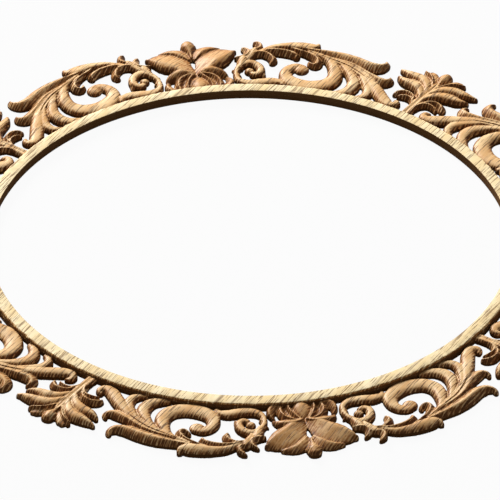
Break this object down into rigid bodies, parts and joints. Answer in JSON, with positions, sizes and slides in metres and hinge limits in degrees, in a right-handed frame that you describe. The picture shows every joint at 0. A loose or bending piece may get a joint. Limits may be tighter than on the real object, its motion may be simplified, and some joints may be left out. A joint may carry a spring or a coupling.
{
  "type": "round carved frame",
  "caption": "Round carved wooden frame: a plain flat ring edged with an openwork wreath of leafy scrolls, sprays and flowers, hung by rings let into its back.",
  "frame": {"origin": "centre of the frame's back plane, on the rim's axis", "axes": "+Z out of the carved front, +Y towards the top when it hangs, +X to the right seen from the front"},
  "size_m": [1.088, 1.088, 0.015],
  "materials": {
    "carved_wood": "satin, carved",
    "rim_wood": "satin, sanded",
    "dowel_wood": "matt, raw",
    "hanger_steel": "satin, zinc plated"
  },
  "bodies": {
    "frame": {"rim_front_segment_1": "rim_wood", "rim_front_segment_2": "rim_wood", "rim_front_segment_3": "rim_wood", "rim_front_segment_4": "rim_wood", "rim_front_segment_5": "rim_wood", "rim_front_segment_6": "rim_wood", "rim_front_segment_7": "rim_wood", "rim_front_segment_8": "rim_wood", "rim_back_segment_1": "rim_wood", "rim_back_segment_2": "rim_wood", "rim_back_segment_3": "rim_wood", "rim_back_segment_4": "rim_wood", "rim_back_segment_5": "rim_wood", "rim_back_segment_6": "rim_wood", "rim_back_segment_7": "rim_wood", "rim_back_segment_8": "rim_wood", "flower_1": "carved_wood", "flower_2": "carved_wood", "flower_3": "carved_wood", "flower_4": "carved_wood", "leaf_spray_1": "carved_wood", "leaf_spray_2": "carved_wood", "leaf_spray_3": "carved_wood", "leaf_spray_4": "carved_wood", "left_scroll_1": "carved_wood", "left_scroll_2": "carved_wood", "left_scroll_3": "carved_wood", "left_scroll_4": "carved_wood", "right_scroll_1": "carved_wood", "right_scroll_2": "carved_wood", "right_scroll_3": "carved_wood", "right_scroll_4": "carved_wood", "flower_dowel_1": "dowel_wood", "flower_dowel_2": "dowel_wood", "flower_dowel_3": "dowel_wood", "flower_dowel_4": "dowel_wood", "leaf_spray_dowel_1": "dowel_wood", "leaf_spray_dowel_2": "dowel_wood", "leaf_spray_dowel_3": "dowel_wood", "leaf_spray_dowel_4": "dowel_wood", "left_scroll_dowel_1": "dowel_wood", "left_scroll_dowel_2": "dowel_wood", "left_scroll_dowel_3": "dowel_wood", "left_scroll_dowel_4": "dowel_wood", "right_scroll_dowel_1": "dowel_wood", "right_scroll_dowel_2": "dowel_wood", "right_scroll_dowel_3": "dowel_wood", "right_scroll_dowel_4": "dowel_wood", "hanger_strap_1": "hanger_steel", "hanger_strap_2": "hanger_steel", "hanger_screw_1": "hanger_steel", "hanger_screw_2": "hanger_steel"},
    "ring_1": {"hanger_ring_1": "hanger_steel"},
    "ring_2": {"hanger_ring_2": "hanger_steel"}
  },
  "joints": [
    {"name": "hanger_ring_1_swing", "type": "hinge", "parent": "frame", "child": "ring_1", "pos_m": [0.23026, 0.33378, 0.0026], "axis": [-0.5678, -0.8231, 0], "range_deg": [0, 160]},
    {"name": "hanger_ring_2_swing", "type": "hinge", "parent": "frame", "child": "ring_2", "pos_m": [-0.23026, 0.33378, 0.0026], "axis": [-0.5678, 0.8231, 0], "range_deg": [0, 160]}
  ]
}
